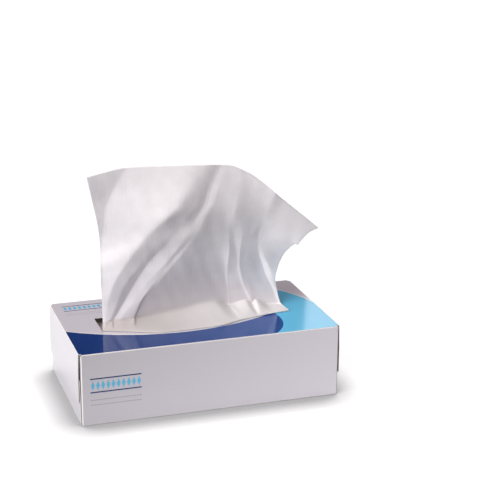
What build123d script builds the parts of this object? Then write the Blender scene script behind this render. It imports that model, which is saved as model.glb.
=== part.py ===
"""A tissue box with one sheet pulled up through its slot.

Three pieces: the folded paperboard carton, the interfolded stack inside it, and the
sheet that stands out of the slot with its tail still lying on the stack.
Millimetres, +Z up, origin at the middle of the carton's bottom.
"""
import os

from build123d import *

# Carton, measured between its folds
carton_length = 218.0
carton_depth = 124.0
carton_height = 61.0
board = 0.5
fold_inside_radius = 0.3

# Dispensing slot in the top panel
slot_length = 162.0
slot_width = 33.0
slot_corner_radius = 3.0
cut_overrun = 1.0

# Glue flap, inside the back panel, and the seam that it bridges
glue_flap_width = 15.0
glue_flap_taper = 6.0
seam_gap = 0.4

# Flaps that close each end: two dust flaps, then the lower flap, then the upper one
dust_flap_length = 46.0
dust_flap_taper = 8.0
dust_flap_gap = 0.6
lower_flap_length = 38.0
lower_flap_spring = 0.4
upper_flap_length = 42.0
upper_flap_spring = 0.6
upper_flap_bow_radius = 300.0
flap_setback = 3.0
flap_clearance = 0.3

# Stack of folded sheets
stack_end_gap = 5.0
stack_side_gap = 5.0
stack_headspace = 7.0
stack_edge_radius = 4.0
leaf_thickness = 0.4

# Pulled sheet
sheet_thickness = 0.3
sheet_clearance = 0.3
pull_height = 136.0
fold_depth = 10.0
bulge_reach = 18.5
bulge_thickness = 2.0
tail_length = 26.0

# The sheet's edges above the slot, each point as a share of the way along the edge,
# a share of the slot's length and a share of the pull height
top_edge_shares = (
    (0.00, -0.544, 0.950),
    (0.07, -0.456, 0.972),
    (0.15, -0.346, 0.990),
    (0.36, -0.072, 0.976),
    (0.54, 0.173, 0.959),
    (0.62, 0.272, 0.911),
    (0.81, 0.472, 0.718),
    (1.00, 0.670, 0.517),
)
crease_shares = (
    (0.00, -0.486, 0.036),
    (0.17, -0.317, 0.068),
    (0.25, -0.238, 0.096),
    (0.50, 0.000, 0.118),
    (0.62, 0.115, 0.116),
    (0.71, 0.202, 0.082),
    (0.81, 0.298, 0.112),
    (0.83, 0.318, 0.064),
    (0.87, 0.354, 0.104),
    (0.92, 0.405, 0.044),
    (1.00, 0.480, 0.030),
)
left_edge_shares = (
    (0.00, -0.486, 0.036),
    (0.37, -0.490, 0.393),
    (0.54, -0.491, 0.540),
    (1.00, -0.544, 0.950),
)
right_edge_shares = (
    (0.00, 0.480, 0.030),
    (0.15, 0.457, 0.127),
    (0.29, 0.446, 0.207),
    (0.44, 0.461, 0.293),
    (0.60, 0.500, 0.384),
    (0.68, 0.541, 0.424),
    (0.74, 0.560, 0.419),
    (0.82, 0.580, 0.450),
    (0.90, 0.618, 0.490),
    (1.00, 0.670, 0.517),
)

# Ridges and valleys that run up the sheet, from its left edge to its right edge:
# the share of the way across, then the share of the fold depth, at each level
level_shares = (0.0, 0.1, 0.2, 0.35, 0.5, 0.7, 1.0)
fold_line_shares = (
    (
        (0.000, 0.000, 0.000, 0.000, 0.000, 0.000, 0.000),
        (0.00, -0.01, -0.02, -0.09, -0.15, -0.36, -1.00),
    ),
    (
        (0.012, 0.012, 0.014, 0.020, 0.030, 0.060, 0.150),
        (0.03, 0.01, 0.00, -0.05, -0.10, -0.26, -0.74),
    ),
    (
        (0.028, 0.037, 0.056, 0.125, 0.255, 0.385, 0.468),
        (-0.30, -0.34, -0.58, -1.19, -1.56, -1.84, -1.80),
    ),
    (
        (0.060, 0.132, 0.213, 0.310, 0.385, 0.455, 0.495),
        (-0.16, 0.02, 0.08, -0.41, -1.14, -1.66, -1.74),
    ),
    (
        (0.105, 0.215, 0.298, 0.392, 0.440, 0.486, 0.510),
        (-0.50, -0.60, -0.57, -0.81, -1.36, -1.74, -1.76),
    ),
    (
        (0.168, 0.242, 0.325, 0.412, 0.468, 0.520, 0.532),
        (-0.70, -0.78, -0.78, -0.99, -1.54, -1.82, -1.78),
    ),
    (
        (0.308, 0.361, 0.419, 0.476, 0.507, 0.542, 0.548),
        (-0.25, -0.32, -0.33, -0.67, -1.32, -1.71, -1.75),
    ),
    (
        (0.489, 0.515, 0.542, 0.559, 0.557, 0.570, 0.569),
        (0.32, 0.29, 0.24, -0.25, -1.04, -1.57, -1.71),
    ),
    (
        (0.686, 0.682, 0.675, 0.649, 0.612, 0.600, 0.592),
        (0.95, 0.94, 0.87, 0.21, -0.74, -1.42, -1.66),
    ),
    (
        (0.706, 0.702, 0.695, 0.669, 0.632, 0.610, 0.600),
        (0.90, 0.86, 0.74, 0.03, -0.86, -1.51, -1.69),
    ),
    (
        (0.812, 0.784, 0.762, 0.737, 0.700, 0.638, 0.620),
        (1.08, 1.02, 0.92, 0.23, -0.65, -1.43, -1.64),
    ),
    (
        (0.832, 0.804, 0.782, 0.757, 0.720, 0.650, 0.630),
        (0.98, 0.90, 0.79, 0.09, -0.79, -1.53, -1.68),
    ),
    (
        (0.950, 0.948, 0.944, 0.916, 0.830, 0.775, 0.750),
        (1.20, 1.16, 1.08, 0.41, -0.53, -1.28, -1.56),
    ),
    (
        (0.980, 0.978, 0.974, 0.946, 0.860, 0.800, 0.770),
        (1.08, 0.98, 0.84, 0.11, -0.79, -1.49, -1.64),
    ),
    (
        (1.000, 1.000, 1.000, 1.000, 1.000, 1.000, 1.000),
        (1.08, 0.99, 0.88, 0.23, -0.51, -1.22, -1.85),
    ),
)
fold_lean_shares = (0.3, 1.0, -0.3)

# How far the sheet bulges out over the top panel, from its left end to its right
bulge_shares = (
    (0.00, 0.00),
    (0.12, 0.45),
    (0.31, 1.00),
    (0.58, 0.95),
    (0.75, 0.46),
    (0.90, 0.15),
    (1.00, 0.00),
)

# Where the sheet stands in the slot's width, how much of the slot's length it fills,
# and how it rises from the stack in the space above it
sheet_plane_share = -0.242
slot_pass_share = -0.273
slot_rim_share = -0.364
slot_fill_share = 0.486
tail_spread_share = 0.58
tail_bend_share = -0.55
tail_rise_shares = (0.12, 0.70)

# Steps along each fold line: between two stations below the crease, and above it
steps_below = 3
steps_above = 8

# Worked out from the sizes above
fold_radius = fold_inside_radius + board
fold_middle_radius = fold_inside_radius + board / 2
sleeve_half = carton_length / 2 - fold_radius
panel_middle = carton_depth / 2 - board / 2
flap_half_width = carton_depth / 2 - flap_setback
lower_flap_middle = carton_length / 2 + flap_clearance + board / 2
upper_flap_middle = lower_flap_middle + board + flap_clearance
top_middle = carton_height - board / 2
dust_low = board + dust_flap_gap
dust_high = carton_height - board - dust_flap_gap
dust_end = carton_depth / 2 - dust_flap_length
dust_root = carton_depth / 2 - fold_radius - board
stack_length = carton_length - 2 * (board + stack_end_gap)
stack_depth = carton_depth - 2 * (board + stack_side_gap)
stack_height = carton_height - 2 * board - stack_headspace
stack_top = board + stack_height

os.makedirs("parts", exist_ok=True)


# Carton: one die-cut sheet of paperboard, creased, wrapped round and glued. Half of
# it is built, with the flaps of one end, and mirrored
with BuildPart() as carton:
    # Four panels, wrapped round
    with BuildSketch(Plane.YZ):
        with Locations((0, carton_height / 2)):
            RectangleRounded(carton_depth, carton_height, fold_radius)
            RectangleRounded(
                carton_depth - 2 * board,
                carton_height - 2 * board,
                fold_inside_radius,
                mode=Mode.SUBTRACT,
            )
        with Locations((panel_middle, fold_radius + seam_gap / 2)):
            Rectangle(board, seam_gap, mode=Mode.SUBTRACT)
    extrude(amount=sleeve_half)

    # Glue flap, folded up from the bottom panel
    with BuildSketch(Plane.XZ.offset(board - carton_depth / 2)):
        with BuildLine():
            Polyline(
                (0, board),
                (sleeve_half, board),
                (sleeve_half - glue_flap_taper, board + glue_flap_width),
                (0, board + glue_flap_width),
                close=True,
            )
        make_face()
    extrude(amount=board)

    # Dust flaps, folded in from the front and back panels, with tapered ends
    for side in (-1, 1):
        with BuildSketch(Plane.XY.offset(dust_low)):
            with BuildLine():
                FilletPolyline(
                    (sleeve_half - board, side * panel_middle),
                    (carton_length / 2 - board / 2, side * panel_middle),
                    (carton_length / 2 - board / 2, side * dust_root),
                    radius=fold_middle_radius,
                )
            trace(line_width=board)
        extrude(amount=dust_high - dust_low)
        with BuildSketch(Plane.YZ.offset(carton_length / 2 - board)):
            with BuildLine():
                Polyline(
                    (side * dust_root, dust_low),
                    (side * (dust_end + dust_flap_taper), dust_low),
                    (side * dust_end, dust_low + dust_flap_taper),
                    (side * dust_end, dust_high - dust_flap_taper),
                    (side * (dust_end + dust_flap_taper), dust_high),
                    (side * dust_root, dust_high),
                    close=True,
                )
            make_face()
        extrude(amount=board)

    # Lower flap, folded up from the bottom panel, standing off a little
    with BuildSketch(Plane.XZ):
        with BuildLine():
            FilletPolyline(
                (sleeve_half, board / 2),
                (lower_flap_middle, board / 2),
                (lower_flap_middle + lower_flap_spring, lower_flap_length),
                radius=fold_middle_radius,
            )
        trace(line_width=board)
    extrude(amount=flap_half_width, both=True)

    # Upper flap, folded down over it from the top panel and bowed outwards
    with BuildSketch(Plane.XZ):
        with BuildLine():
            FilletPolyline(
                (sleeve_half, top_middle),
                (upper_flap_middle, top_middle),
                (upper_flap_middle + upper_flap_spring, carton_height - upper_flap_length / 2),
                (upper_flap_middle + upper_flap_spring, carton_height - upper_flap_length),
                radius=[fold_middle_radius, upper_flap_bow_radius],
            )
        trace(line_width=board)
    extrude(amount=flap_half_width, both=True)

    mirror(about=Plane.YZ)

    # Dispensing slot
    with BuildSketch(Plane.XY.offset(carton_height - board - cut_overrun)):
        RectangleRounded(slot_length, slot_width, slot_corner_radius)
    extrude(amount=board + 2 * cut_overrun, mode=Mode.SUBTRACT)

carton.part.label = "carton"
export_step(carton.part, "parts/carton.step")


# Stack of sheets, folded into each other, with round folds along its long sides and
# the half leaf of the next sheet on its back half
with BuildPart() as tissue_stack:
    with BuildSketch(Plane.YZ):
        with Locations((0, board + stack_height / 2)):
            RectangleRounded(stack_depth, stack_height, stack_edge_radius)
    extrude(amount=stack_length / 2, both=True)
    with BuildSketch(Plane.XY.offset(stack_top)):
        with Locations((0, stack_depth / 4 - stack_edge_radius / 2)):
            Rectangle(stack_length, stack_depth / 2 - stack_edge_radius)
    extrude(amount=leaf_thickness)

tissue_stack.part.label = "tissue_stack"
export_step(tissue_stack.part, "parts/tissue_stack.step")


def smooth(places, values, at):
    """The value at a place, on a smooth curve that never overshoots the given values."""
    steps = [after - before for before, after in zip(places, places[1:])]
    rises = [(values[i + 1] - values[i]) / step for i, step in enumerate(steps)]
    bends = [0 if a * b <= 0 else 2 * a * b / (a + b) for a, b in zip(rises, rises[1:])]
    tangents = [rises[0], *bends, rises[-1]]
    i = max(k for k in range(len(steps)) if places[k] <= at)
    t = (at - places[i]) / steps[i]
    straight = values[i] + t * steps[i] * rises[i]
    early, late = tangents[i] - rises[i], tangents[i + 1] - rises[i]
    return straight + t * (1 - t) * steps[i] * ((1 - t) * early - t * late)


def along(table, at):
    """The point of a table's curve at a share of the way along it."""
    places = [row[0] for row in table]
    return [smooth(places, [row[k] for row in table], at) for k in range(1, len(table[0]))]


def sheet_above(line, level):
    """A point of a fold line from the crease, at level 0, up to the top edge, at level 1."""
    across = smooth(level_shares, line[0], level)
    offset = fold_depth * smooth(level_shares, line[1], level)
    top, crease = along(top_edge_shares, across), along(crease_shares, across)
    left, right = along(left_edge_shares, level), along(right_edge_shares, level)
    place = []
    for k in range(2):
        low = (1 - across) * left_edge_shares[0][k + 1] + across * right_edge_shares[0][k + 1]
        high = (1 - across) * left_edge_shares[-1][k + 1] + across * right_edge_shares[-1][k + 1]
        upward = (1 - level) * (crease[k] - low) + level * (top[k] - high)
        place.append(upward + (1 - across) * left[k] + across * right[k])
    return Vector(
        place[0] * slot_length + offset * fold_lean_shares[0],
        sheet_plane_share * slot_width + offset * fold_lean_shares[1],
        carton_height + place[1] * pull_height + offset * fold_lean_shares[2],
    )


def stations_below(line):
    """Points of a fold line from the tail on the stack, up through the slot, out over the
    top panel and round the bulge to the crease."""
    across = line[0][0]
    spread = (2 * across - 1) * slot_length
    slot_x, tail_x = spread * slot_fill_share, spread * tail_spread_share
    bend_y = tail_bend_share * slot_width
    front = -slot_width / 2 - along(bulge_shares, across)[0] * bulge_reach
    rest = stack_top + sheet_clearance
    rim = carton_height + sheet_clearance + sheet_thickness
    return (
        Vector(tail_x, bend_y - tail_length, rest),
        Vector(tail_x, bend_y - tail_length / 2, rest),
        Vector(tail_x, bend_y, rest + tail_rise_shares[0] * stack_headspace),
        Vector(slot_x, slot_pass_share * slot_width, rest + tail_rise_shares[1] * stack_headspace),
        Vector(slot_x, slot_rim_share * slot_width, rim + sheet_thickness),
        Vector(slot_x, front + bulge_thickness, rim),
        Vector(slot_x, front, rim + bulge_thickness / 2),
        Vector(slot_x, front + bulge_thickness, rim + bulge_thickness),
        sheet_above(line, 0),
    )


def fold_line_points(line):
    """All the points of a fold line, from the tail's end to the top edge."""
    stations = stations_below(line)
    ways = list(zip(*stations))
    places = range(len(stations))
    points = []
    for step in range(steps_below * (len(stations) - 1)):
        points.append(Vector(*(smooth(places, way, step / steps_below) for way in ways)))
    for step in range(steps_above + 1):
        points.append(sheet_above(line, step / steps_above))
    return points


def other_side(lines):
    """The same fold lines, one thickness away on the sheet's other side."""
    moved = []
    for i, line in enumerate(lines):
        beside = lines[max(i - 1, 0) : i + 2]
        points = []
        for j, point in enumerate(line):
            ways = [(b[j] - a[j]).normalized() for a, b in zip(beside, beside[1:])]
            along_line = line[min(j + 1, len(line) - 1)] - line[max(j - 1, 0)]
            points.append(point + sum(ways, Vector()).cross(along_line).normalized() * sheet_thickness)
        moved.append(points)
    return moved


def fold_line_edges(points):
    """A fold line's edges: short straight ones up to the crease, and one curve above it."""
    crease = len(points) - 1 - steps_above
    edges = [Edge.make_line(a, b) for a, b in zip(points[:crease], points[1:])]
    return edges + [Edge.make_spline(points[crease:])]


def strips(one, other):
    """Faces stretched straight between two rows of edges."""
    return [Face.make_surface_from_curves(a, b) for a, b in zip(one, other)]


# Pulled sheet: strips stretched between neighbouring fold lines, on both sides of the
# sheet, closed by its four edges
with BuildPart() as pulled_tissue:
    face_lines = [fold_line_points(line) for line in fold_line_shares]
    back_lines = other_side(face_lines)
    face_edges = [fold_line_edges(points) for points in face_lines]
    back_edges = [fold_line_edges(points) for points in back_lines]
    faces = strips(face_edges[0], back_edges[0]) + strips(face_edges[-1], back_edges[-1])
    for i in range(len(face_lines) - 1):
        faces += strips(face_edges[i], face_edges[i + 1]) + strips(back_edges[i], back_edges[i + 1])
        for end in (0, -1):
            face_end = Edge.make_line(face_lines[i][end], face_lines[i + 1][end])
            back_end = Edge.make_line(back_lines[i][end], back_lines[i + 1][end])
            faces += strips([face_end], [back_end])
    add(Solid(Shell(faces)))

pulled_tissue.part.label = "pulled_tissue"
export_step(pulled_tissue.part, "parts/pulled_tissue.step")
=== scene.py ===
"""A tissue box with one sheet pulled up through its slot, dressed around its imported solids."""
import math

import bpy
import numpy as np
from mathutils import Matrix, Vector


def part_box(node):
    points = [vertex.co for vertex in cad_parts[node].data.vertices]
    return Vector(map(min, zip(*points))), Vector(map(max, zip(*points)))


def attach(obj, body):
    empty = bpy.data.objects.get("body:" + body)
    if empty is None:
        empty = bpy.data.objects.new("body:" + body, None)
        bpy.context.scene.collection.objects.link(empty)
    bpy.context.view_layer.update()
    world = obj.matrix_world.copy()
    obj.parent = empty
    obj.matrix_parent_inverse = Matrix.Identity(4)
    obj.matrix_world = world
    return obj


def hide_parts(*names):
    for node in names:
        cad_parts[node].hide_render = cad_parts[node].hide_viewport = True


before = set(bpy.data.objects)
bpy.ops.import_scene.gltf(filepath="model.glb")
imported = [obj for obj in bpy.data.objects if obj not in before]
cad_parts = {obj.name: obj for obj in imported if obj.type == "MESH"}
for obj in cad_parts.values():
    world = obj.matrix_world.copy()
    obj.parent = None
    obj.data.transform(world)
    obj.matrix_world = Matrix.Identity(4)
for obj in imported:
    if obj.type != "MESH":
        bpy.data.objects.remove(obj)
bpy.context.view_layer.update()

mm = 0.001

# Carton: one die-cut sheet of boxboard, grey behind and coated white on its face, printed
# in two blues on a pale ground and varnished. It is creased, wrapped round and glued at the
# back, and its end flaps are closed on each other and spring out a little.
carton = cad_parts["carton"]
carton_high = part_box("carton")[1]
carton_half_length = 109.0 * mm
carton_half_depth = carton_high.y
carton_height = carton_high.z
board = 0.5 * mm

pale_ground_ink = "#E3E0E7"
navy_ink = "#1C3C7E"
navy_end_ink = "#1B4E9A"
light_blue_ink = "#6ED2FA"
grey_ink = "#8C8A93"
bare_white = "#FBFAF8"
worn_coating = "#EDE7E2"
greyback_fibres = ("#A3968A", "#C0B6AB")
cut_edge_fibres = ("#D6D0CB", "#ECE8E4")

# Sizes in the board, in millimetres: fibre clumps under the coating, the board's slow waves
# from crest to crest, cracks in the coating along a fold, and specks of recycled fibre. The
# clumps change the ink's tone and its roughness between two values each
clump_size = 1.5
wave_length = 14.0
crack_spacing = 0.8
speck_size = 1.2
mottle_tones = (0.975, 1.025)
ink_roughness = (0.42, 0.55)

# Print on the top panel, in millimetres from the panel's middle: the navy field lies in
# front of one large arc and ends in a small one, and the light blue field lies inside
# another large arc and leaves its own inner arc clear
sweep_centre, sweep_radius = (-15.3, 133.0), 169.2
navy_end_centre, navy_end_radius = (24.4, -27.4), 45.4
light_blue_centre, light_blue_radius = (-7.0, -32.0), 121.0
clear_centre, clear_radius = (-2.0, -10.0), 70.0
white_line_width = 1.5
print_margin = 0.9

# Painted light on the front panel: its pale ground is painted lighter along the panel and darker
# up it, per millimetre, from a tone at the panel's foot
front_painted_light_grading = (0.00155, -0.0022)
front_painted_light_foot = 1.07

# Ornament on the front and top panels, in millimetres: a row of lozenges between two rules,
# and two rows of dots under it. On both panels it starts at the same left end, and each panel
# has its own height for the lowest row of dots, from which the other rows are measured
ornament_length = 42.0
ornament_left = -102.0
front_ornament_foot = 17.5
top_ornament_foot = 29.0
rule_thickness = 1.1
rule_heights = (10.8, 22.3)
lozenge_count = 10
lozenge_half_height = 4.2
lozenge_gap = 0.45
dot_rows = (0.0, 4.2)
dot_pitch = 2.1
dot_half_height = 0.55


def linear(hex_colour):
    """An sRGB hex colour as linear red, green, blue and alpha."""
    parts = [int(hex_colour[i : i + 2], 16) / 255 for i in (1, 3, 5)]
    return [c / 12.92 if c <= 0.04045 else ((c + 0.055) / 1.055) ** 2.4 for c in parts] + [1.0]


def add_node(tree, kind, inputs=None, **settings):
    """Adds a node with its settings, and sets or links its inputs."""
    node = tree.nodes.new(kind)
    for name, value in settings.items():
        setattr(node, name, value)
    for socket, value in (inputs or {}).items():
        if isinstance(value, bpy.types.NodeSocket):
            tree.links.new(value, node.inputs[socket])
        else:
            node.inputs[socket].default_value = value
    return node


def new_material(name):
    """An empty node material and its tree."""
    material = bpy.data.materials.new(name)
    material.use_nodes = True
    material.node_tree.nodes.clear()
    return material, material.node_tree


def place_in_mm(tree):
    """The point on the surface, in millimetres of the object's own frame."""
    here = {0: add_node(tree, "ShaderNodeTexCoord").outputs["Object"], "Scale": 1 / mm}
    return add_node(tree, "ShaderNodeVectorMath", here, operation="SCALE").outputs[0]


def in_disc(tree, place, centre, radius):
    """1 where a place seen from above lies inside a circle, 0 elsewhere."""
    from_above = {0: place, 1: (1, 1, 0)}
    flat = add_node(tree, "ShaderNodeVectorMath", from_above, operation="MULTIPLY").outputs[0]
    ends = {0: flat, 1: (*centre, 0)}
    away = add_node(tree, "ShaderNodeVectorMath", ends, operation="DISTANCE").outputs["Value"]
    inside = {0: away, 1: radius}
    return add_node(tree, "ShaderNodeMath", inside, operation="LESS_THAN").outputs[0]


def in_band(tree, value, low, high):
    """1 where a value lies between two limits, 0 elsewhere."""
    limits = {0: value, 1: (low + high) / 2, 2: (high - low) / 2}
    return add_node(tree, "ShaderNodeMath", limits, operation="COMPARE").outputs[0]


def outside(tree, mask):
    """1 where a mask is 0, and 0 where it is 1."""
    return add_node(tree, "ShaderNodeMath", {0: 1.0, 1: mask}, operation="SUBTRACT").outputs[0]


def all_of(tree, *masks):
    """1 where every mask is 1."""
    joined = masks[0]
    for mask in masks[1:]:
        both = {0: joined, 1: mask}
        joined = add_node(tree, "ShaderNodeMath", both, operation="MINIMUM").outputs[0]
    return joined


def any_of(tree, *masks):
    """1 where at least one mask is 1."""
    joined = masks[0]
    for mask in masks[1:]:
        both = {0: joined, 1: mask}
        joined = add_node(tree, "ShaderNodeMath", both, operation="MAXIMUM").outputs[0]
    return joined


def lozenge_row(tree, x, rise, pitch, half_height, gap):
    """1 inside a row of lozenges along x, which stand on both sides of rise 0."""
    start = {0: x, 1: ornament_left}
    from_left = add_node(tree, "ShaderNodeMath", start, operation="SUBTRACT").outputs[0]
    repeat = {0: from_left, 1: pitch / 2}
    inward = add_node(tree, "ShaderNodeMath", repeat, operation="PINGPONG").outputs[0]
    height = add_node(tree, "ShaderNodeMath", {0: rise}, operation="ABSOLUTE").outputs[0]
    flank = {0: height, 1: (pitch / 2 - gap) / half_height, 2: gap}
    edge = add_node(tree, "ShaderNodeMath", flank, operation="MULTIPLY_ADD").outputs[0]
    inside = {0: inward, 1: edge}
    return add_node(tree, "ShaderNodeMath", inside, operation="GREATER_THAN").outputs[0]


def ornament(tree, panel, x, upward, foot):
    """Masks of the ornament's navy rules, light blue lozenges and grey dots on one panel."""
    spread = in_band(tree, x, ornament_left, ornament_left + ornament_length)
    here = all_of(tree, panel, spread)
    half = rule_thickness / 2
    rules = [in_band(tree, upward, foot + h - half, foot + h + half) for h in rule_heights]
    rows = [(sum(rule_heights) / 2, ornament_length / lozenge_count, lozenge_half_height)]
    rows += [(row, dot_pitch, dot_half_height) for row in dot_rows]
    shapes = []
    for row, pitch, half_height in rows:
        above = {0: upward, 1: foot + row}
        rise = add_node(tree, "ShaderNodeMath", above, operation="SUBTRACT").outputs[0]
        shapes.append(lozenge_row(tree, x, rise, pitch, half_height, lozenge_gap))
    masks = (any_of(tree, *rules), shapes[0], any_of(tree, *shapes[1:]))
    return [all_of(tree, here, mask) for mask in masks]


def printed_boxboard():
    """Coated boxboard printed by offset and varnished: flat inks, painted light laid over the
    front panel's ground, a faint mottle from the fibres under the coating, and a clear gloss that
    mirrors what stands on it."""
    material, tree = new_material("printed_boxboard")
    place = place_in_mm(tree)
    x, y, z = add_node(tree, "ShaderNodeSeparateXYZ", {0: place}).outputs
    depth, height = carton_half_depth / mm, carton_height / mm
    top = all_of(
        tree,
        in_band(tree, z, height - board / mm, height + board / mm),
        in_band(tree, y, print_margin - depth, depth - print_margin),
    )
    front = in_band(tree, y, -depth - board / mm, -depth + board / mm)

    behind_sweep = in_disc(tree, place, sweep_centre, sweep_radius)
    behind_line = in_disc(tree, place, sweep_centre, sweep_radius - white_line_width)
    left_of_end = in_band(tree, x, -2 * carton_half_length / mm, navy_end_centre[0])
    before_end = any_of(tree, left_of_end, in_disc(tree, place, navy_end_centre, navy_end_radius))
    navy = all_of(tree, top, outside(tree, behind_sweep), before_end)
    sweep_line = all_of(tree, top, behind_sweep, outside(tree, behind_line), before_end)
    inside_light = in_disc(tree, place, light_blue_centre, light_blue_radius)
    light_edge = in_disc(tree, place, light_blue_centre, light_blue_radius + white_line_width)
    clear = in_disc(tree, place, clear_centre, clear_radius)
    cleared = all_of(tree, clear, behind_sweep)
    right_half = in_band(tree, x, clear_centre[0], 2 * carton_half_length / mm)
    light = all_of(tree, top, inside_light, outside(tree, cleared), right_half)
    light_line = all_of(tree, top, light_edge, outside(tree, inside_light), right_half)

    # The navy field grows lighter towards its right-hand end
    run = {0: x, 1: -carton_half_length / mm, 2: navy_end_centre[0]}
    shift = {0: add_node(tree, "ShaderNodeMapRange", run).outputs[0]}
    shift |= {6: linear(navy_ink), 7: linear(navy_end_ink)}
    graded_navy = add_node(tree, "ShaderNodeMix", shift, data_type="RGBA").outputs[2]
    inks = [
        (light, linear(light_blue_ink)),
        (light_line, linear(bare_white)),
        (sweep_line, linear(bare_white)),
        (navy, graded_navy),
    ]
    ornament_inks = [linear(ink) for ink in (navy_ink, light_blue_ink, grey_ink)]
    for panel, upward, foot in ((front, z, front_ornament_foot), (top, y, top_ornament_foot)):
        inks += zip(ornament(tree, panel, x, upward, foot), ornament_inks)
    colour = linear(pale_ground_ink)
    for mask, ink in inks:
        layers = {0: mask, 6: colour, 7: ink}
        colour = add_node(tree, "ShaderNodeMix", layers, data_type="RGBA").outputs[2]

    # The front's painted light, lighter to the right and at the foot, and the fibres' mottle both
    # change the tone of the ink
    clumps = {"Vector": place, "Scale": 1 / clump_size, "Detail": 4.0}
    mottle = add_node(tree, "ShaderNodeTexNoise", clumps).outputs[0]
    spread = {"Value": mottle, "To Min": mottle_tones[0], "To Max": mottle_tones[1]}
    tone = add_node(tree, "ShaderNodeMapRange", spread).outputs[0]
    painted_front_light = front_painted_light_foot
    for place_along, change in zip((x, z), front_painted_light_grading):
        ramp = {0: place_along, 1: change, 2: painted_front_light}
        painted_front_light = add_node(tree, "ShaderNodeMath", ramp, operation="MULTIPLY_ADD").outputs[0]
    painted_light_on_front = add_node(tree, "ShaderNodeMix", {0: front, 2: 1.0, 3: painted_front_light}).outputs[0]
    both = {0: painted_light_on_front, 1: tone}
    tone = add_node(tree, "ShaderNodeMath", both, operation="MULTIPLY").outputs[0]
    toning = {0: 1.0, 6: colour, 7: tone}
    toned = add_node(tree, "ShaderNodeMix", toning, data_type="RGBA", blend_type="MULTIPLY")
    spread = {"Value": mottle, "To Min": ink_roughness[0], "To Max": ink_roughness[1]}
    gloss = add_node(tree, "ShaderNodeMapRange", spread).outputs[0]
    # The coating follows the board's slow waves
    waves = {"Vector": place, "Scale": 1 / wave_length, "Detail": 2.0}
    waves = add_node(tree, "ShaderNodeTexNoise", waves).outputs[0]
    relief = {"Height": waves, "Strength": 0.12, "Distance": 0.2 * mm}
    bump = add_node(tree, "ShaderNodeBump", relief).outputs[0]
    varnished = {
        "Base Color": toned.outputs[2],
        "Roughness": gloss,
        "Specular IOR Level": 0.05,
        "Coat Weight": 0.75,
        "Coat Roughness": 0.07,
        "Coat Normal": bump,
        "Normal": bump,
    }
    surface = add_node(tree, "ShaderNodeBsdfPrincipled", varnished)
    add_node(tree, "ShaderNodeOutputMaterial", {0: surface.outputs[0]})
    return material


def creased_boxboard():
    """The same board on the outside of a fold, where the ink stops and the white coating is
    cracked by the crease: a matt, slightly rough white line."""
    material, tree = new_material("creased_boxboard")
    place = place_in_mm(tree)
    cracks = {"Vector": place, "Scale": 1 / crack_spacing, "Detail": 3.0}
    cracks = add_node(tree, "ShaderNodeTexNoise", cracks).outputs[0]
    spread = {"Value": cracks, "From Min": 0.35, "From Max": 0.65}
    worn = add_node(tree, "ShaderNodeMapRange", spread).outputs[0]
    mixed = {0: worn, 6: linear(bare_white), 7: linear(worn_coating)}
    colour = add_node(tree, "ShaderNodeMix", mixed, data_type="RGBA")
    relief = {"Height": cracks, "Strength": 0.3, "Distance": 0.1 * mm}
    bump = add_node(tree, "ShaderNodeBump", relief)
    coat = {"Base Color": colour.outputs[2], "Roughness": 0.6, "Normal": bump.outputs[0]}
    surface = add_node(tree, "ShaderNodeBsdfPrincipled", coat)
    add_node(tree, "ShaderNodeOutputMaterial", {0: surface.outputs[0]})
    return material


def bare_board(name, dark, light):
    """Uncoated board made from recycled fibre, with darker and lighter specks, quite matt."""
    material, tree = new_material(name)
    place = place_in_mm(tree)
    specks = {"Vector": place, "Scale": 1 / speck_size, "Detail": 6.0}
    specks = add_node(tree, "ShaderNodeTexNoise", specks).outputs[0]
    spread = {"Value": specks, "From Min": 0.3, "From Max": 0.7}
    spread = add_node(tree, "ShaderNodeMapRange", spread).outputs[0]
    mixed = {0: spread, 6: linear(dark), 7: linear(light)}
    colour = add_node(tree, "ShaderNodeMix", mixed, data_type="RGBA")
    relief = {"Height": specks, "Strength": 0.4, "Distance": 0.1 * mm}
    bump = add_node(tree, "ShaderNodeBump", relief)
    fibre = {"Base Color": colour.outputs[2], "Roughness": 0.9, "Normal": bump.outputs[0]}
    surface = add_node(tree, "ShaderNodeBsdfPrincipled", fibre)
    add_node(tree, "ShaderNodeOutputMaterial", {0: surface.outputs[0]})
    return material


# The printed face looks away from the carton's core, the fold lines look along no axis, what
# looks back to the core is bare grey, and what looks along the board is a paler cut edge
carton.data.materials.clear()
greyback = bare_board("greyback", *greyback_fibres)
cut_edge = bare_board("cut_edge", *cut_edge_fibres)
for made in (printed_boxboard(), creased_boxboard(), greyback, cut_edge):
    carton.data.materials.append(made)
core_margin = 2 * board
core_half = (carton_half_length - core_margin, carton_half_depth - core_margin)
core_low = Vector((-core_half[0], -core_half[1], core_margin))
core_high = Vector((*core_half, carton_height - core_margin))
facing_limit = 0.3
square_limit = 0.97
for face in carton.data.polygons:
    nearest = [min(max(c, low), high) for c, low, high in zip(face.center, core_low, core_high)]
    outward = (face.center - Vector(nearest)).normalized()
    if face.normal.dot(outward) < -facing_limit:
        face.material_index = 2
    elif face.normal.dot(outward) < facing_limit:
        face.material_index = 3
    elif max(abs(c) for c in face.normal) < square_limit:
        face.material_index = 1
    else:
        face.material_index = 0

# Folded sheets: the interfolded stack of two-ply tissue that waits in the carton, with the
# round folds of its leaves along both long sides and the half leaf of the next sheet on top.
# It lies loose on the carton's bottom.
stack_low, stack_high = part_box("tissue_stack")
leaf_step = 1.4 * mm
fold_roundness = 0.55 * mm
end_setback = 0.8 * mm
next_leaf_thickness = 0.4 * mm
stack_columns = 80
top_columns = 40

# The leaves sway along the stack and up it, and its top rolls: how far, and the runs along x
# and across it in which each wave turns by one radian. The middle of the width doesn't sway,
# and the roll fades quickly below the top
leaf_drift = 0.5 * mm
drift_shares = (0.5, 0.25)
sway_runs = ((31 * mm, 5 * mm), (13 * mm, -2.3 * mm))
top_wave = 0.45 * mm
roll_runs = ((23 * mm, 11 * mm), (-40 * mm, 17 * mm))
side_share = 0.1
lift_sharpness = 6
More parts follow.
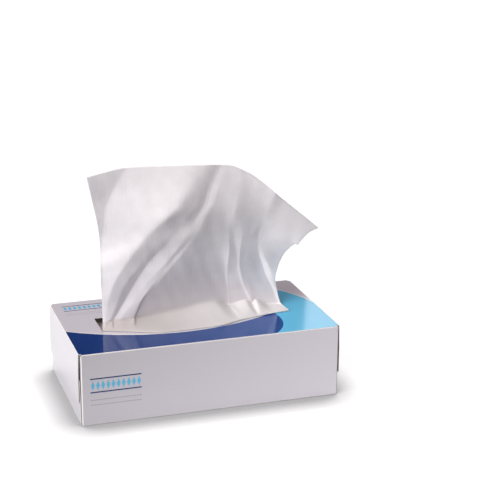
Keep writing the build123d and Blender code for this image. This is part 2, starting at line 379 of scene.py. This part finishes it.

# Tissue in white and in its thinner clouds, a painted shade for where the box stands close
# behind it, and a cream where it lies double, painted in shade at its left end and lighter to its
# right
tissue_white = "#F8F5F7"
tissue_thin = "#F3EFF1"
tissue_painted_shade = "#DCD7DB"
tissue_creams_painted_shade_to_light = ("#C8C1BE", "#EDEAE8")

# Sizes in the tissue, in millimetres: clouds of thicker and thinner fibre, crepe ribs, which
# are really 0.3 apart and are drawn wider to show, and long up the sheet, the ticks that press
# the plies together in a line near the left edge, and the stretch over which the cream's painted
# shade gives way to painted light
cloud_size = 9.0
rib_spacing = 1.5
rib_stretch = 0.06
tick_length = 1.2
tick_start = 0.5
tick_line = (7.5, 8.5)
cream_painted_light_stretch = (21.0, 147.0)


def mesh_piece(name, points, faces, material):
    """A smooth-shaded mesh object made of points and faces."""
    mesh = bpy.data.meshes.new(name)
    mesh.from_pydata([tuple(p) for p in points], [], [tuple(int(i) for i in f) for f in faces])
    mesh.validate()
    mesh.polygons.foreach_set("use_smooth", [True] * len(mesh.polygons))
    mesh.materials.append(material)
    piece = bpy.data.objects.new(name, mesh)
    bpy.context.scene.collection.objects.link(piece)
    return piece


def tissue_paper():
    """Two-ply creped tissue: soft off-white, fully matt, with the fine ribs that creping
    leaves along the sheet, a pressed line that holds the plies together near one edge, a grey
    painted shade where the box stands close behind it, and a cream where it lies double,
    with painted shade at its left end."""
    material, tree = new_material("tissue_paper")
    place = place_in_mm(tree)
    cut_place = add_node(tree, "ShaderNodeAttribute", attribute_name="cut_place").outputs["Vector"]
    painted_backing_shade = add_node(tree, "ShaderNodeAttribute", attribute_name="painted_backing_shade").outputs["Fac"]
    doubled_with_painted_shade = add_node(tree, "ShaderNodeAttribute", attribute_name="doubled_with_painted_shade").outputs["Fac"]
    from_left, from_tail = add_node(tree, "ShaderNodeSeparateXYZ", {0: cut_place}).outputs[:2]
    clouds = {"Vector": place, "Scale": 1 / cloud_size, "Detail": 5.0}
    clouds = add_node(tree, "ShaderNodeTexNoise", clouds).outputs[0]
    spread = {"Value": clouds, "From Min": 0.3, "From Max": 0.7}
    spread = add_node(tree, "ShaderNodeMapRange", spread).outputs[0]
    mixed = {0: spread, 6: linear(tissue_thin), 7: linear(tissue_white)}
    white = add_node(tree, "ShaderNodeMix", mixed, data_type="RGBA").outputs[2]
    # Painted shade where the box stands close behind the sheet, in place of the light that would
    # shine through it
    mixed = {0: painted_backing_shade, 6: white, 7: linear(tissue_painted_shade)}
    single = add_node(tree, "ShaderNodeMix", mixed, data_type="RGBA").outputs[2]
    # The cream where the paper lies double is painted in shade at its left end and painted lighter
    # towards its right
    stretch = {0: from_left, 1: cream_painted_light_stretch[0], 2: cream_painted_light_stretch[1]}
    cream_painted_light = add_node(tree, "ShaderNodeMapRange", stretch).outputs[0]
    mixed = {0: cream_painted_light, 6: linear(tissue_creams_painted_shade_to_light[0]), 7: linear(tissue_creams_painted_shade_to_light[1])}
    cream = add_node(tree, "ShaderNodeMix", mixed, data_type="RGBA").outputs[2]
    mixed = {0: doubled_with_painted_shade, 6: single, 7: cream}
    colour = add_node(tree, "ShaderNodeMix", mixed, data_type="RGBA")
    # Ribs run up the sheet, and the ticks are pressed in between them
    drawn_out = {0: cut_place, 1: (1, rib_stretch, 1)}
    drawn_out = add_node(tree, "ShaderNodeVectorMath", drawn_out, operation="MULTIPLY").outputs[0]
    ribs = {"Vector": drawn_out, "Scale": 1 / rib_spacing, "Detail": 2.0}
    ribs = add_node(tree, "ShaderNodeTexNoise", ribs).outputs[0]
    repeat = {0: from_tail, 1: tick_length}
    repeat = add_node(tree, "ShaderNodeMath", repeat, operation="PINGPONG").outputs[0]
    ticks = {0: repeat, 1: tick_start}
    ticks = add_node(tree, "ShaderNodeMath", ticks, operation="GREATER_THAN").outputs[0]
    pressed = all_of(tree, in_band(tree, from_left, *tick_line), ticks)
    height = {0: ribs, 1: pressed}
    height = add_node(tree, "ShaderNodeMath", height, operation="SUBTRACT").outputs[0]
    relief = {"Height": height, "Strength": 0.5, "Distance": 0.2 * mm}
    bump = add_node(tree, "ShaderNodeBump", relief)
    paper = {
        "Base Color": colour.outputs[2],
        "Roughness": 0.95,
        "Specular IOR Level": 0.15,
        "Sheen Weight": 0.1,
        "Sheen Roughness": 0.6,
        "Normal": bump.outputs[0],
    }
    surface = add_node(tree, "ShaderNodeBsdfPrincipled", paper)
    add_node(tree, "ShaderNodeOutputMaterial", {0: surface.outputs[0]})
    return material


def stack_outline():
    """The stack's side, from its bottom front corner up the leaves and over the top to the
    back: rows of y, z and how far the ends stand back at that place."""
    levels = np.arange(stack_low.z, stack_high.z - leaf_step / 2, leaf_step)
    side = []
    for level in levels:
        side.append((fold_roundness, level, end_setback))
        side += [(0.0, level + leaf_step / 3, 0.0), (0.0, level + 2 * leaf_step / 3, 0.0)]
    front = [(stack_low.y + inset, z, back) for inset, z, back in side]
    rear = [(stack_high.y - inset, z, back) for inset, z, back in reversed(side)]
    across = np.linspace(stack_low.y, stack_high.y, top_columns + 2)[1:-1]
    top = [(y, stack_high.z - (next_leaf_thickness if y < 0 else 0.0), 0.0) for y in across]
    return np.array(front + top + rear)


outline = stack_outline()
along_stack = np.linspace(stack_low.x, stack_high.x, stack_columns)
stack_points = []
for column, x in enumerate(along_stack):
    y, z, end_inset = outline.T
    at_end = column in (0, stack_columns - 1)
    lift = np.clip((z - stack_low.z) / (stack_high.z - stack_low.z), 0, 1)
    sway = sum(np.sin(x / lengthwise + z / upward) for lengthwise, upward in sway_runs)
    drift = leaf_drift * (drift_shares[0] + drift_shares[1] * sway)
    on_side = np.abs(y) > side_share * stack_high.y
    rolls = [np.sin(x / lengthwise + y / sideways) for lengthwise, sideways in roll_runs]
    ring = np.zeros((len(outline), 3))
    ring[:, 0] = x - np.sign(x) * end_inset * at_end
    ring[:, 1] = y - np.sign(y) * drift * on_side
    ring[:, 2] = z + lift**lift_sharpness * top_wave * (rolls[0] * rolls[1] - 1)
    stack_points.append(ring)
count = len(outline)
stack_faces = []
for column in range(stack_columns - 1):
    for i in range(count):
        j = (i + 1) % count
        near, far = column * count, (column + 1) * count
        stack_faces.append((near + i, near + j, far + j, far + i))
for column, flip in ((0, False), (stack_columns - 1, True)):
    for i in range(count // 2 - 1):
        quad = [column * count + k for k in (i, count - 1 - i, count - 2 - i, i + 1)]
        stack_faces.append(quad[::-1] if flip else quad)
sheet_paper = tissue_paper()
folded_sheets = mesh_piece("folded_sheets", np.concatenate(stack_points), stack_faces, sheet_paper)
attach(folded_sheets, "root")
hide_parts("tissue_stack")

# Pulled sheet: one two-ply tissue drawn up through the slot. Its tail still lies on the
# stack, it folds out over the front of the slot, and creases run up it from the slot to the
# place where it was gripped. Nothing fixes it: the slot and its own folds hold it up.
slot_length = 162 * mm
slot_width = 33 * mm
pull_height = 136 * mm
bulge_reach = 18.5 * mm
bulge_thickness = 1.0 * mm
end_reaches = (2.2 * mm, 3.0 * mm)
end_fade = 12
tail_length = 26 * mm
sheet_thickness = 0.2 * mm
sheet_clearance = 0.15 * mm
sheet_flat = (210 * mm, 215 * mm)
sheet_columns = 200
least_columns = 6
column_crowding = 0.7
sheet_rows = 200
station_steps = 8

# The sheet's edges above the slot: a share of the way along the edge, then a share of the
# slot's length and a share of the pull height
top_edge_shares = [
    (0.00, -0.544, 0.950),
    (0.07, -0.456, 0.972),
    (0.15, -0.346, 0.990),
    (0.36, -0.072, 0.976),
    (0.54, 0.173, 0.959),
    (0.62, 0.272, 0.911),
    (0.81, 0.472, 0.718),
    (1.00, 0.670, 0.517),
]
crease_shares = [
    (0.00, -0.486, 0.036),
    (0.03, -0.452, 0.042),
    (0.12, -0.365, 0.043),
    (0.20, -0.287, 0.041),
    (0.28, -0.210, 0.039),
    (0.36, -0.133, 0.046),
    (0.45, -0.048, 0.055),
    (0.53, 0.029, 0.070),
    (0.62, 0.115, 0.080),
    (0.71, 0.202, 0.073),
    (0.81, 0.298, 0.062),
    (0.92, 0.405, 0.044),
    (1.00, 0.480, 0.030),
]
left_edge_shares = [
    (0.00, -0.486, 0.036),
    (0.37, -0.490, 0.393),
    (0.54, -0.491, 0.540),
    (1.00, -0.544, 0.950),
]
right_edge_shares = [
    (0.00, 0.480, 0.030),
    (0.15, 0.457, 0.127),
    (0.29, 0.446, 0.207),
    (0.44, 0.461, 0.293),
    (0.60, 0.500, 0.384),
    (0.70, 0.545, 0.414),
    (0.82, 0.590, 0.455),
    (1.00, 0.670, 0.517),
]

# Pockets along the bend, between the feet of the folds: how far they raise or lower it, as
# shares of the pull height, which fades upwards
pocket_shares = [
    (0.000, 0.000),
    (0.620, 0.000),
    (0.706, -0.022),
    (0.800, 0.014),
    (0.834, -0.016),
    (0.850, 0.019),
    (0.920, -0.010),
    (1.000, 0.000),
]
pocket_fade = 14

# A small nick in the right edge, as shares like those of the edge, which fades inwards
nick_shares = [
    (0.00, 0.000, 0.000),
    (0.60, 0.000, 0.000),
    (0.68, 0.004, 0.015),
    (0.74, 0.000, -0.009),
    (0.82, -0.010, -0.005),
    (0.90, -0.007, 0.008),
    (1.00, 0.000, 0.000),
]
nick_fade = 30

# Ridges and valleys that run up the sheet, from its left edge to its right edge, at levels
# from the crease to the top edge: the share of the way across, the depth behind the sheet's
# plane in millimetres, and how round the fold is, as a share of the way across, at both ends
level_shares = [0.0, 0.1, 0.2, 0.35, 0.5, 0.7, 1.0]
fold_lines = [
    (
        (0.000, 0.000, 0.000, 0.000, 0.000, 0.000, 0.000),
        (-0.4, -0.6, -1.2, -2.4, 0.5, -4.1, -11.0),
        (0.01, 0.01),
    ),
    (
        (0.003, 0.003, 0.003, 0.004, 0.008, 0.035, 0.150),
        (-0.5, -1.0, -1.3, -2.2, 0.3, -4.5, -11.0),
        (0.006, 0.012),
    ),
    (
        (0.006, 0.024, 0.051, 0.132, 0.223, 0.373, 0.468),
        (-1.8, -2.3, -4.7, -8.3, -13.7, -23.0, -21.3),
        (0.006, 0.06),
    ),
    (
        (0.032, 0.076, 0.114, 0.219, 0.325, 0.418, 0.478),
        (-2.7, -2.9, -4.9, -7.2, -13.0, -20.1, -21.3),
        (0.006, 0.05),
    ),
    (
        (0.048, 0.109, 0.165, 0.256, 0.371, 0.450, 0.495),
        (-1.5, -1.2, -2.4, -5.5, -12.6, -19.4, -20.0),
        (0.006, 0.03),
    ),
    (
        (0.090, 0.163, 0.232, 0.364, 0.448, 0.490, 0.510),
        (-3.0, -3.2, -4.3, -7.7, -13.6, -16.7, -18.2),
        (0.008, 0.02),
    ),
    (
        (0.160, 0.203, 0.272, 0.387, 0.474, 0.514, 0.524),
        (-2.6, -4.1, -4.7, -7.1, -13.4, -17.5, -18.2),
        (0.003, 0.012),
    ),
    (
        (0.168, 0.217, 0.296, 0.414, 0.499, 0.531, 0.536),
        (-1.2, -2.5, -4.1, -7.4, -13.2, -17.8, -18.5),
        (0.004, 0.012),
    ),
    (
        (0.698, 0.695, 0.690, 0.667, 0.638, 0.606, 0.592),
        (18.5, 14.8, 9.7, -1.7, -8.5, -16.5, -18.4),
        (0.012, 0.04),
    ),
    (
        (0.704, 0.701, 0.697, 0.698, 0.672, 0.632, 0.606),
        (18.2, 14.5, 9.0, -2.9, -7.9, -17.0, -18.7),
        (0.002, 0.008),
    ),
    (
        (0.824, 0.795, 0.774, 0.753, 0.704, 0.647, 0.622),
        (18.0, 14.3, 8.2, -0.4, -6.1, -17.7, -18.7),
        (0.01, 0.03),
    ),
    (
        (0.834, 0.808, 0.787, 0.766, 0.748, 0.703, 0.660),
        (16.2, 12.7, 6.9, -0.9, -6.6, -14.8, -19.2),
        (0.002, 0.01),
    ),
    (
        (0.988, 0.980, 0.967, 0.921, 0.856, 0.803, 0.770),
        (12.9, 12.0, 10.6, 5.4, -2.7, -10.8, -20.7),
        (0.002, 0.012),
    ),
    (
        (0.995, 0.993, 0.989, 0.959, 0.886, 0.833, 0.790),
        (11.6, 11.0, 7.2, 0.7, -3.1, -10.5, -19.1),
        (0.004, 0.03),
    ),
    (
        (1.000, 1.000, 1.000, 1.000, 1.000, 1.000, 1.000),
        (10.4, 9.8, 7.1, 0.9, -0.9, -13.1, -17.1),
        (0.01, 0.01),
    ),
]
fold_lean_shares = (0.3, 1.0, -0.3)

# How far the sheet bulges out over the top panel, from its left end to its right, and how
# softly it bends up from there
bulge_shares = [
    (0.00, 0.00),
    (0.12, 0.45),
    (0.31, 1.00),
    (0.58, 0.95),
    (0.75, 0.46),
    (0.90, 0.15),
    (1.00, 0.00),
]
soft_crease_shares = [
    (0.00, 0.0),
    (0.16, 0.1),
    (0.30, 1.0),
    (0.58, 1.0),
    (0.68, 0.1),
    (1.00, 0.0),
]
soft_crease_reach = 3 * mm
row_softness = 0.6

# How far above the bend the cream where the paper lies double shows through, where the bend is
# sharp and where it is soft, and how far up the painted shade for the box behind the sheet reaches
tone_reaches = (1.5 * mm, 8 * mm)
painted_backing_shade_reach = 45 * mm

# Where the sheet stands in the slot's width, how much of the slot's length it fills, and
# how it rises from the stack in the space above it
sheet_plane_share = -0.242
slot_pass_share = -0.273
slot_rim_share = -0.364
slot_fill_share = 0.486
tail_spread_share = 0.58
tail_bend_share = -0.55
tail_rise_shares = (0.12, 0.70)

# Creases where folds run on down over the bulge, and the knot at its left end: the lower and
# the upper end as a share of the way across and millimetres above the bend, then the height
# and the widths of the left and right flanks in millimetres
foot_creases = [
    ((0.745, -24.0), (0.700, 6.0), 0.6, (3.0, 0.8)),
    ((0.880, -14.0), (0.828, 5.0), 0.4, (3.0, 0.8)),
    ((0.125, -20.0), (0.175, 5.0), 0.9, (1.0, 3.0)),
    ((0.008, -16.0), (0.022, 4.0), 0.8, (1.2, 1.8)),
    ((0.038, -20.0), (0.048, 4.0), 0.7, (1.2, 2.0)),
]

# Unevenness of a handled sheet: slow waves, and short creases that run mostly up the sheet
ripple_count = 14
ripple_lengths = (14 * mm, 45 * mm)
ripple_height = 0.15 * mm
small_crease_count = 14
small_crease_half_lengths = (5 * mm, 14 * mm)
small_crease_widths = (1.2 * mm, 6 * mm)
small_crease_heights = (0.05 * mm, 0.18 * mm)
small_crease_turns = (0.2 * math.pi, 0.85 * math.pi)
handling_seed = 11


def smooth(places, values, at):
    """Values at places on curves that pass through the given ones and never overshoot them."""
    places, at = np.array(places, float), np.asarray(at, float)
    values = np.array(values, float)
    steps = np.diff(places).reshape(-1, *[1] * (values.ndim - 1))
    rises = np.diff(values, axis=0) / steps
    same_way = rises[1:] * rises[:-1] > 0
    total = np.where(same_way, rises[1:] + rises[:-1], 1.0)
    bends = np.where(same_way, 2 * rises[1:] * rises[:-1] / total, 0.0)
    tangents = np.concatenate([rises[:1], bends, rises[-1:]])
    i = np.clip(np.searchsorted(places, at, side="right") - 1, 0, len(places) - 2)
    t = ((at - places[i]) / np.diff(places)[i]).reshape(-1, *[1] * (values.ndim - 1))
    straight = values[i] + t * steps[i] * rises[i]
    early, late = tangents[i] - rises[i], tangents[i + 1] - rises[i]
    return straight + t * (1 - t) * steps[i] * ((1 - t) * early - t * late)


def along(table, at):
    """Points of a table's curve at shares of the way along it."""
    return smooth([row[0] for row in table], [row[1:] for row in table], at)


def soften(values, reach):
    """Averages a list along its first axis over a few neighbours, with the ends held."""
    steps = max(int(round(2 * reach)), 1)
    weights = np.exp(-0.5 * (np.arange(-steps, steps + 1) / reach) ** 2)
    padded = np.concatenate([values[:1]] * steps + [values] + [values[-1:]] * steps)
    return sum(w * padded[i : i + len(values)] for i, w in enumerate(weights / weights.sum()))


def folds_at(level):
    """Where the fold lines cross one level, how deep they lie there and how round they are."""
    lines, depths = (
        np.array([smooth(level_shares, line[k], [level])[0] for line in fold_lines])
        for k in (0, 1)
    )
    rounds = np.array([line[2][0] + (line[2][1] - line[2][0]) * level**2 for line in fold_lines])
    return lines, depths * mm, rounds


def column_places():
    """Each column's place among the fold lines: the number of the line on its left, plus its
    share of the way to the next one. Columns crowd towards the lines, so folds stay crisp."""
    gaps = np.diff([line[0] for line in fold_lines], axis=0).max(axis=1)
    places = []
    for line, gap in enumerate(gaps):
        count = max(int(sheet_columns * gap / gaps.sum()), least_columns)
        share = np.arange(count) / count
        places.append(line + share - column_crowding * np.sin(math.tau * share) / math.tau)
    return np.append(np.concatenate(places), len(gaps))


def fold_depths(across, level):
    """How far each point of a row lies behind the sheet's plane: straight between the fold
    lines, with each fold rounded off by its own amount."""
    lines, depths, rounds = folds_at(level)
    slopes = np.diff(depths) / np.diff(lines)
    total = depths[0] + slopes[0] * across
    for line, bend, roundness in zip(lines[1:-1], np.diff(slopes), rounds[1:-1]):
        past = across - line
        total = total + bend * (past + np.hypot(past, roundness)) / 2
    return total


def sheet_above(columns, level):
    """A row of points across the sheet at one level, from the crease at 0 to the top edge at 1,
    each with its share of the way across."""
    lines = folds_at(level)[0]
    across = np.interp(columns, np.arange(len(lines)), lines)
    offset = fold_depths(across, level)
    top, crease = along(top_edge_shares, across), along(crease_shares, across)
    left, right = along(left_edge_shares, [level]), along(right_edge_shares, [level])
    u = across[:, None]
    low = (1 - u) * np.array(left_edge_shares[0][1:]) + u * np.array(right_edge_shares[0][1:])
    high = (1 - u) * np.array(left_edge_shares[-1][1:]) + u * np.array(right_edge_shares[-1][1:])
    place = (1 - level) * (crease - low) + level * (top - high) + (1 - u) * left + u * right
    place = place + u**nick_fade * along(nick_shares, [level])
    place[:, 1] += (1 - level) ** pocket_fade * along(pocket_shares, across)[:, 0]
    row = np.zeros((len(across), 4))
    row[:, 0] = place[:, 0] * slot_length + offset * fold_lean_shares[0]
    row[:, 1] = sheet_plane_share * slot_width + offset * fold_lean_shares[1]
    row[:, 2] = carton_height + place[:, 1] * pull_height + offset * fold_lean_shares[2]
    row[:, 3] = across
    return row


def sheet_below(across):
    """Rows of points from the tail on the stack, up through the slot, out over the top panel
    and round the bulge, at the stations that a smooth curve then joins, each with its share
    of the way across."""
    spread = (2 * across - 1) * slot_length
    bulge = along(bulge_shares, across)[:, 0]
    front = -slot_width / 2 - bulge * bulge_reach
    rest = stack_high.z - next_leaf_thickness + sheet_clearance
    headspace = carton_height - board - rest
    rim = carton_height + sheet_clearance + sheet_thickness
    tail_x, slot_x = spread * tail_spread_share, spread * slot_fill_share
    left_reach = end_reaches[0] * (1 - across) ** end_fade
    bulge_x = slot_x - left_reach + end_reaches[1] * across**end_fade
    bend_y = tail_bend_share * slot_width
    stations = [
        (tail_x, bend_y - tail_length, rest),
        (tail_x, bend_y - tail_length / 2, rest),
        (tail_x, bend_y, rest + tail_rise_shares[0] * headspace),
        (slot_x, slot_pass_share * slot_width, rest + tail_rise_shares[1] * headspace),
        (slot_x, slot_rim_share * slot_width, rim + sheet_thickness),
        (bulge_x, front + bulge_thickness, rim),
        (bulge_x, front, rim + bulge_thickness / 2),
        (bulge_x, front + bulge_thickness, rim + bulge_thickness),
    ]
    return [np.stack(np.broadcast_arrays(*station, across), axis=-1) for station in stations]


def ripples(x, y):
    """Heights of waves that run every way over the sheet."""
    draw = np.random.default_rng(handling_seed)
    total = np.zeros_like(x)
    for _ in range(ripple_count):
        length = draw.uniform(*ripple_lengths)
        turn, start = draw.uniform(0, math.pi), draw.uniform(0, math.tau)
        total += np.sin(math.tau * (x * math.cos(turn) + y * math.sin(turn)) / length + start)
    return ripple_height * total / math.sqrt(ripple_count)


def short_creases(x, y, crease_run):
    """Heights of the short creases: each rises to a line from both sides and fades at its ends."""
    creases = []
    for low, high, height, widths in foot_creases:
        ends = np.array([(u * sheet_flat[0], crease_run + rise * mm) for u, rise in (low, high)])
        creases.append((ends.mean(axis=0), ends[1] - ends[0], height * mm, np.array(widths) * mm))
    draw = np.random.default_rng(handling_seed)
    for _ in range(small_crease_count):
        middle = draw.uniform((0, crease_run), (sheet_flat[0], y.max()))
        turn = draw.uniform(*small_crease_turns)
        half_length = draw.uniform(*small_crease_half_lengths)
        way = 2 * half_length * np.array((math.cos(turn), math.sin(turn)))
        height = draw.choice((-1, 1)) * draw.uniform(*small_crease_heights)
        creases.append((middle, way, height, draw.uniform(*small_crease_widths, 2)))
    total = np.zeros_like(x)
    for middle, way, height, widths in creases:
        length = np.hypot(*way)
        lengthwise = ((x - middle[0]) * way[0] + (y - middle[1]) * way[1]) / length
        leftward = ((y - middle[1]) * way[0] - (x - middle[0]) * way[1]) / length
        down = np.where(leftward > 0, leftward / widths[0], -leftward / widths[1])
        tent = np.clip(1 - down, 0, None)
        total += height * tent * np.clip(1 - (2 * lengthwise / length) ** 2, 0, None) ** 2
    return total


def facing(grid):
    """The way that each point of a grid faces."""
    normals = np.cross(np.gradient(grid, axis=1), np.gradient(grid, axis=0))
    return normals / np.linalg.norm(normals, axis=2, keepdims=True)


def sheet_grid():
    """The sheet's middle surface as rows of points from its tail to its top edge, evenly
    spaced along the paper, with each point's share of the way across, each row's place along
    the paper and the place of the bend above the bulge."""
    columns = column_places()
    bend = sheet_above(columns, 0.0)
    stations = np.array(sheet_below(bend[:, 3]) + [bend])
    finely = np.linspace(0, len(stations) - 1, station_steps * len(stations))
    below = smooth(np.arange(len(stations)), stations, finely)
    above = np.array([sheet_above(columns, level) for level in np.linspace(0, 1, sheet_rows)[1:]])
    rows = np.concatenate([below, above])
    steps = np.linalg.norm(np.diff(rows[..., :3], axis=0), axis=2).mean(axis=1)
    run = np.concatenate([[0], np.cumsum(steps)])
    even = np.linspace(0, run[-1], sheet_rows)
    rows = smooth(run, rows, even)
    grid, across = rows[..., :3], rows[..., 3]
    last_two = (len(stations) - 2, len(stations) - 1)
    rim_run, crease_run = np.interp(last_two, finely, run[: len(below)])
    near_crease = np.exp(-(((even - crease_run) / (2 * soft_crease_reach)) ** 2))
    share = near_crease[:, None, None] * along(soft_crease_shares, bend[:, 3])[None, :, :]
    softer = soften(grid, soft_crease_reach / even[1])
    grid = soften(grid, row_softness) * (1 - share) + softer * share
    x, y = np.broadcast_arrays(across * sheet_flat[0], even[:, None])
    shown = np.clip((y - rim_run) / soft_crease_reach, 0, 1)
    uneven = (ripples(x, y) + short_creases(x, y, crease_run)) * shown
    return grid + facing(grid) * uneven[..., None], across, even, crease_run


def two_sided(grid, thickness):
    """Points and faces of a closed sheet, half its thickness to each side of a grid."""
    normals = facing(grid)
    sides = [grid + normals * thickness / 2, grid - normals * thickness / 2]
    points = np.concatenate([side.reshape(-1, 3) for side in sides])
    rows, columns = grid.shape[:2]
    number = np.arange(rows * columns).reshape(rows, columns)
    corners = (number[:-1, :-1], number[:-1, 1:], number[1:, 1:], number[1:, :-1])
    quads = np.stack(corners, axis=-1).reshape(-1, 4)
    faces = [quads, quads[:, ::-1] + rows * columns]
    rim = np.concatenate([number[0, :-1], number[:-1, -1], number[-1, :0:-1], number[:0:-1, 0]])
    other_rim = rim + rows * columns
    faces.append(np.stack([rim, other_rim, np.roll(other_rim, -1), np.roll(rim, -1)], axis=-1))
    return points, np.concatenate(faces)


grid, across, run, crease_run = sheet_grid()
sheet_points, sheet_faces = two_sided(grid, sheet_thickness)
pulled_sheet = mesh_piece("pulled_sheet", sheet_points, sheet_faces, sheet_paper)
cut_place = np.zeros((2, *across.shape, 3))
cut_place[..., 0] = across * sheet_flat[0] / mm
cut_place[..., 1] = run[:, None] / mm
above_bend = run[:, None] - crease_run
pocket_rise = along(pocket_shares, across.ravel()).reshape(across.shape) * pull_height
softness = along(soft_crease_shares, across.ravel()).reshape(across.shape)
tone_reach = tone_reaches[0] + (tone_reaches[1] - tone_reaches[0]) * softness
above_pockets = above_bend + np.clip(pocket_rise, 0, None)
# Where the paper lies double, which takes the cream with its painted shade
doubled_with_painted_shade = np.tile(np.clip(1 - above_pockets / tone_reach, 0, 1), (2, 1, 1))
# Painted shade on the sheet where the box stands close behind it, fading upwards
painted_backing_shade = np.clip(1 - above_bend / painted_backing_shade_reach, 0, 1)
painted_backing_shade = np.broadcast_to(painted_backing_shade, (2, *across.shape))
for name, kind, field, values in (
    ("cut_place", "FLOAT_VECTOR", "vector", cut_place),
    ("painted_backing_shade", "FLOAT", "value", painted_backing_shade),
    ("doubled_with_painted_shade", "FLOAT", "value", doubled_with_painted_shade),
):
    attribute = pulled_sheet.data.attributes.new(name, kind, "POINT")
    attribute.data.foreach_set(field, values.astype(np.float32).ravel())
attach(pulled_sheet, "root")
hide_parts("pulled_tissue")

# Floor: a plain white sweep under the box. A glow makes it show white to the camera and in
# reflections, and near the box a painted shadow dims that glow, mostly in front of the box and on
# its left, because the shade is looked for with a tilt to the back and the right. Its matt paper
# also takes the lamps' real shadows.
floor_half = 12.0
floor_drop = 0.1 * mm
floor_white = "#8E8D8E"
open_glow = 0.91
shaded_glow = 0.22
shade_reach = 30 * mm
shade_tilt = (0.12, 0.28, 0.95)


def white_sweep():
    """Matt white paper with a glow that only the camera, gloss and glass see, dimmed by a painted
    shadow near the box.
    """
    material, tree = new_material("white_sweep")
    paths = add_node(tree, "ShaderNodeLightPath").outputs
    rays = ("Is Camera Ray", "Is Glossy Ray", "Is Transmission Ray")
    seen = any_of(tree, *[paths[ray] for ray in rays])
    # Painted shadow: the glow dims where ambient occlusion, tilted to the back and right, finds
    # the box close by
    tilt = add_node(tree, "ShaderNodeCombineXYZ", dict(enumerate(shade_tilt))).outputs[0]
    around = {"Distance": shade_reach, "Normal": tilt}
    open_sky = add_node(tree, "ShaderNodeAmbientOcclusion", around).outputs["AO"]
    shades = {0: open_sky, 1: 0.5, 2: 1.0, 3: shaded_glow, 4: open_glow}
    glow = add_node(tree, "ShaderNodeMapRange", shades).outputs[0]
    strength = add_node(tree, "ShaderNodeMath", {0: seen, 1: glow}, operation="MULTIPLY")
    paper = {
        "Base Color": linear(floor_white),
        "Roughness": 1.0,
        "Specular IOR Level": 0.0,
        "Emission Color": linear("#FFFFFF"),
        "Emission Strength": strength.outputs[0],
    }
    surface = add_node(tree, "ShaderNodeBsdfPrincipled", paper)
    add_node(tree, "ShaderNodeOutputMaterial", {0: surface.outputs[0]})
    return material


corner_signs = ((-1, -1), (1, -1), (1, 1), (-1, 1))
floor_corners = [(x * floor_half, y * floor_half, -floor_drop) for x, y in corner_signs]
floor = mesh_piece("floor", floor_corners, [(0, 1, 2, 3)], white_sweep())

# Light: a bright ceiling with darker walls, a large soft lamp on the left, a weaker one behind
# on the right, and a small panel behind the box that the varnish mirrors at its right end.
wall_light = 0.02
ceiling_light = 0.38
ceiling_start, ceiling_full = 0.45, 0.75
ceiling_tone = "#FFE6EE"
lamps = [
    ("left_softbox", (-2.62, -1.77, 1.72), 2.9, 160.0),
    ("rear_softbox", (2.20, 2.20, 0.90), 1.4, 20.0),
    ("back_panel", (0.886, 1.33, 0.62), 0.5, 1.6),
]
aim = Vector((0, 0, carton_height))

world = bpy.data.worlds.new("studio")
bpy.context.scene.world = world
world.use_nodes = True
tree = world.node_tree
tree.nodes.clear()
direction = add_node(tree, "ShaderNodeTexCoord").outputs["Generated"]
upward = add_node(tree, "ShaderNodeSeparateXYZ", {0: direction}).outputs[2]
level = add_node(
    tree,
    "ShaderNodeMapRange",
    {0: upward, 1: ceiling_start, 2: ceiling_full, 3: wall_light, 4: ceiling_light},
    interpolation_type="SMOOTHSTEP",
)
room = add_node(tree, "ShaderNodeBackground", {0: linear(ceiling_tone), 1: level.outputs[0]})
add_node(tree, "ShaderNodeOutputWorld", {0: room.outputs[0]})

for name, place, size, energy in lamps:
    light = bpy.data.lights.new(name, "AREA")
    light.shape = "SQUARE"
    light.size = size
    light.energy = energy
    lamp = bpy.data.objects.new(name, light)
    lamp.location = place
    lamp.rotation_euler = (aim - Vector(place)).to_track_quat("-Z", "Y").to_euler()
    bpy.context.scene.collection.objects.link(lamp)

# Camera: in front of the box and to its left, a little above it, with a long lens that is
# shifted sideways, so that the box stands left of the picture's middle.
camera_azimuth = math.radians(-17.125)
camera_elevation = math.radians(17.797)
camera_distance = 1.1461
camera_aim = Vector((18.0 * mm, 0, 117.1 * mm))
sensor_width = 36.0
focal_length = 98.31
camera_shift = 0.076

back = Vector(
    (
        math.sin(camera_azimuth) * math.cos(camera_elevation),
        -math.cos(camera_azimuth) * math.cos(camera_elevation),
        math.sin(camera_elevation),
    )
)
right = Vector((math.cos(camera_azimuth), math.sin(camera_azimuth), 0))
up = back.cross(right)
lens = bpy.data.cameras.new("camera")
lens.sensor_width = sensor_width
lens.lens = focal_length
lens.shift_x = camera_shift
camera = bpy.data.objects.new("camera", lens)
camera.matrix_world = Matrix.Translation(camera_aim + back * camera_distance) @ Matrix(
    (right, up, back)
).transposed().to_4x4()
bpy.context.scene.collection.objects.link(camera)
bpy.context.scene.camera = camera
bpy.context.scene.view_settings.view_transform = "Standard"
